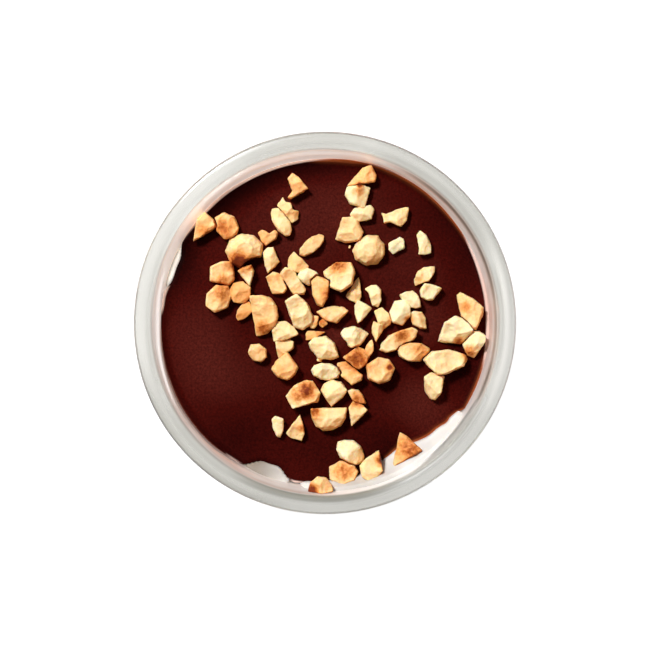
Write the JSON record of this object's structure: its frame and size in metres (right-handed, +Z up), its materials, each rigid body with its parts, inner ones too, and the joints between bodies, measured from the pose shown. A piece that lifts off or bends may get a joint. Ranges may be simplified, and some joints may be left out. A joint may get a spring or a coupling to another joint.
{
  "type": "semifreddo in a jar",
  "caption": "Open glass dessert jar filled with pale frozen cream under a layer of dark chocolate ganache, scattered with chopped roasted hazelnuts.",
  "frame": {"origin": "middle of the base, on the surface the jar stands on", "axes": "+Z up through the jar's axis, +Y to the back, +X to the right as seen from the front"},
  "size_m": [0.084, 0.084, 0.062],
  "materials": {
    "glass": "clear pressed glass with a faint grey-green tint and a smooth rolled lip",
    "cream": "matt frozen cream with a soft, slightly airy surface",
    "ganache": "satin dark chocolate with faint mottling and a thin warm edge",
    "hazelnut": "dry chopped nut, pale cut faces with golden and brown roasted patches"
  },
  "bodies": {
    "root": {"jar": "glass", "semifreddo": "cream", "ganache": "ganache", "hazelnut_01": "hazelnut", "hazelnut_02": "hazelnut", "hazelnut_03": "hazelnut", "hazelnut_04": "hazelnut", "hazelnut_05": "hazelnut", "hazelnut_06": "hazelnut", "hazelnut_07": "hazelnut", "hazelnut_08": "hazelnut", "hazelnut_09": "hazelnut", "hazelnut_10": "hazelnut", "hazelnut_11": "hazelnut", "hazelnut_12": "hazelnut", "hazelnut_13": "hazelnut", "hazelnut_14": "hazelnut", "hazelnut_15": "hazelnut", "hazelnut_16": "hazelnut", "hazelnut_17": "hazelnut", "hazelnut_18": "hazelnut", "hazelnut_19": "hazelnut", "hazelnut_20": "hazelnut", "hazelnut_21": "hazelnut", "hazelnut_22": "hazelnut", "hazelnut_23": "hazelnut", "hazelnut_24": "hazelnut", "hazelnut_25": "hazelnut", "hazelnut_26": "hazelnut", "hazelnut_27": "hazelnut", "hazelnut_28": "hazelnut", "hazelnut_29": "hazelnut", "hazelnut_30": "hazelnut", "hazelnut_31": "hazelnut", "hazelnut_32": "hazelnut", "hazelnut_33": "hazelnut", "hazelnut_34": "hazelnut", "hazelnut_35": "hazelnut", "hazelnut_36": "hazelnut"}
  },
  "joints": []
}
